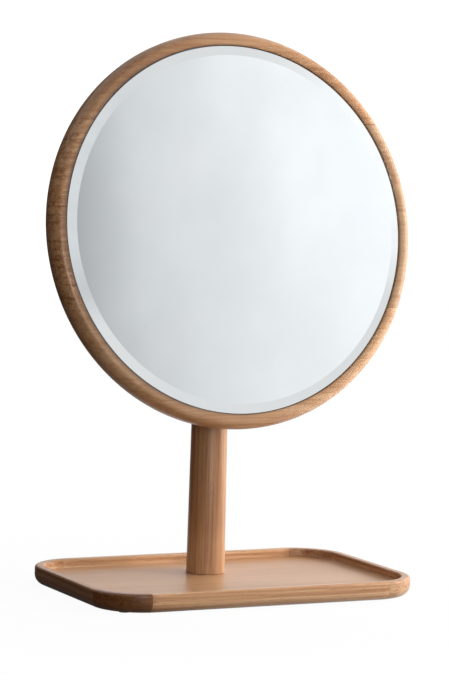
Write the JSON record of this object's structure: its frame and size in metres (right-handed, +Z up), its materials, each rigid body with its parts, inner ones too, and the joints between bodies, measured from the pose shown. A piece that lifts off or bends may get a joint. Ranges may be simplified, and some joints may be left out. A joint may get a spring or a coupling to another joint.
{
  "type": "tabletop dressing mirror with tray",
  "caption": "Round bevelled mirror in a rounded oak frame, tilting on a tapered oak post that stands at the back of a shallow oak tray with a raised, round-cornered rim.",
  "frame": {"origin": "on the table, under the middle of the tray", "axes": "+Z up, +X to the user's right, -Y to the front, where the user sits"},
  "size_m": [0.43, 0.248, 0.604],
  "materials": {
    "oak": "clear satin lacquer",
    "dowel_wood": "raw",
    "black_board": "black painted fibreboard",
    "mirror": "silvered, bevelled",
    "foam": "adhesive on both sides",
    "steel": "zinc plated",
    "black_steel": "black powder coat",
    "brass": "machined",
    "nylon": "moulded",
    "felt": "pressed felt"
  },
  "bodies": {
    "stand": {"tray_floor": "oak", "tray_rail_front": "oak", "tray_rail_right": "oak", "tray_rail_back": "oak", "tray_rail_left": "oak", "tray_corner_back_right": "oak", "tray_corner_back_left": "oak", "tray_corner_front_left": "oak", "tray_corner_front_right": "oak", "rim_dowel_long_back_right": "dowel_wood", "rim_dowel_short_back_right": "dowel_wood", "rim_dowel_long_back_left": "dowel_wood", "rim_dowel_short_back_left": "dowel_wood", "rim_dowel_long_front_left": "dowel_wood", "rim_dowel_short_front_left": "dowel_wood", "rim_dowel_long_front_right": "dowel_wood", "rim_dowel_short_front_right": "dowel_wood", "foot_pad_back_right": "felt", "foot_pad_back_left": "felt", "foot_pad_front_left": "felt", "foot_pad_front_right": "felt", "base_plate": "black_steel", "base_plate_screw_1": "steel", "base_plate_screw_2": "steel", "base_plate_screw_3": "steel", "base_plate_screw_4": "steel", "post": "oak", "post_insert": "brass", "post_bolt": "steel", "post_dowel": "dowel_wood", "pivot_bush_left": "brass", "friction_washer_left": "nylon", "pivot_washer_left": "black_steel", "pivot_bush_right": "brass", "friction_washer_right": "nylon", "pivot_washer_right": "black_steel", "pivot_bolt": "black_steel", "pivot_cap_nut": "black_steel"},
    "mirror": {"frame_board_bottom": "oak", "frame_board_lower_left": "oak", "frame_board_lower_right": "oak", "frame_board_upper_left": "oak", "frame_board_upper_right": "oak", "frame_board_top": "oak", "mirror_glass": "mirror", "mirror_pad": "foam", "backing_board": "black_board", "tilt_bracket": "black_steel", "backing_screw_1": "steel", "backing_screw_2": "steel", "backing_screw_3": "steel", "backing_screw_4": "steel", "backing_screw_5": "steel", "backing_screw_6": "steel", "bracket_screw_1": "steel", "bracket_screw_2": "steel", "bracket_screw_3": "steel", "bracket_screw_4": "steel"}
  },
  "joints": [
    {"name": "mirror_tilt", "type": "hinge", "parent": "stand", "child": "mirror", "pos_m": [0, 0.0425, 0.3848], "axis": [-1, 0, 0], "range_deg": [-11, 36]}
  ]
}
